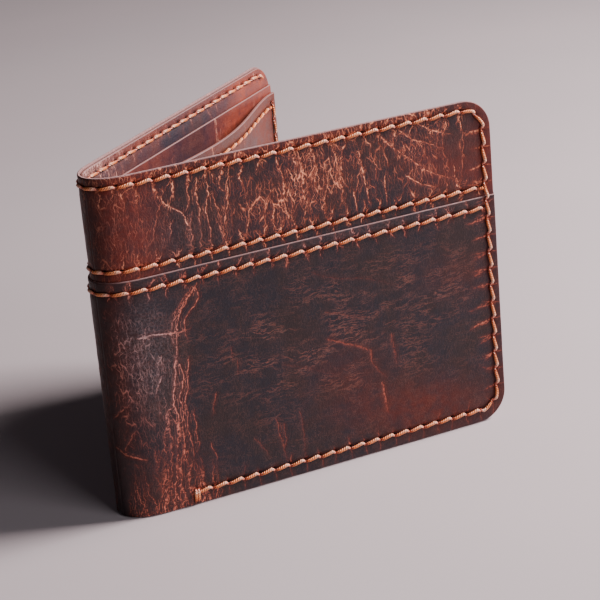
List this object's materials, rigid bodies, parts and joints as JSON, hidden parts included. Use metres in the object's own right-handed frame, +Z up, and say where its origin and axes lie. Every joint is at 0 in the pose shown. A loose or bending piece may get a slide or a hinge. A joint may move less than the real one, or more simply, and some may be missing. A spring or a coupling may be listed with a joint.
{
  "type": "bifold wallet",
  "caption": "Bifold leather wallet standing ajar on its long edge, with a lapped band across the outside, bill compartments, stepped card pockets and contrast stitching.",
  "frame": {"origin": "on the surface that the wallet stands on, under the middle of its overall box", "axes": "+Z up, +X from the spine toward the open ends along the line midway between the covers, -Y toward the front cover"},
  "size_m": [0.1018, 0.0822, 0.088],
  "materials": {
    "outer_leather": "waxed pull-up leather, semi-matt, creased",
    "band_leather": "waxed pull-up leather, burnished",
    "lining_leather": "matt",
    "card_leather": "semi-matt",
    "thread": "waxed, twisted"
  },
  "bodies": {
    "back_cover": {"back_lower_panel": "outer_leather", "back_upper_band": "band_leather", "back_lining": "lining_leather", "back_compartment_facing": "lining_leather", "back_card_panel": "card_leather", "back_card_pocket_upper": "card_leather", "back_card_pocket_middle": "card_leather", "back_card_pocket_lower": "card_leather", "back_edge_stitching_outside": "thread", "back_seam_stitching_upper": "thread", "back_seam_stitching_lower": "thread", "back_top_stitching_inside": "thread", "back_card_edge_stitching": "thread", "back_card_top_stitching": "thread", "back_pocket_stitching": "thread"},
    "spine": {"spine_lower_panel": "outer_leather", "spine_upper_band": "band_leather", "spine_lining": "lining_leather", "spine_top_stitching_outside": "thread", "spine_top_stitching_inside": "thread", "spine_seam_stitching_upper": "thread", "spine_seam_stitching_lower": "thread"},
    "front_cover": {"front_lower_panel": "outer_leather", "front_upper_band": "band_leather", "front_lining": "lining_leather", "front_compartment_facing": "lining_leather", "front_card_panel": "card_leather", "front_card_pocket_upper": "card_leather", "front_card_pocket_middle": "card_leather", "front_card_pocket_lower": "card_leather", "front_edge_stitching_outside": "thread", "front_seam_stitching_upper": "thread", "front_seam_stitching_lower": "thread", "front_top_stitching_inside": "thread", "front_card_edge_stitching": "thread", "front_card_top_stitching": "thread", "front_pocket_stitching": "thread"}
  },
  "joints": [
    {"name": "back_fold", "type": "hinge", "parent": "back_cover", "child": "spine", "pos_m": [-0.04924, 0.00482, 0.044], "axis": [0, 0, -1], "range_deg": [-11, 70.6], "deforming": ["spine_lower_panel", "spine_upper_band", "spine_lining", "spine_top_stitching_outside", "spine_top_stitching_inside", "spine_seam_stitching_upper", "spine_seam_stitching_lower"]},
    {"name": "front_fold", "type": "hinge", "parent": "spine", "child": "front_cover", "pos_m": [-0.04924, -0.00482, 0.044], "axis": [0, 0, -1], "range_deg": [-11, 70.6], "deforming": ["spine_lower_panel", "spine_upper_band", "spine_lining", "spine_top_stitching_outside", "spine_top_stitching_inside", "spine_seam_stitching_upper", "spine_seam_stitching_lower"]}
  ],
  "couplings": [
    {"joint": "front_fold", "follows": "back_fold", "ratio": 1}
  ]
}
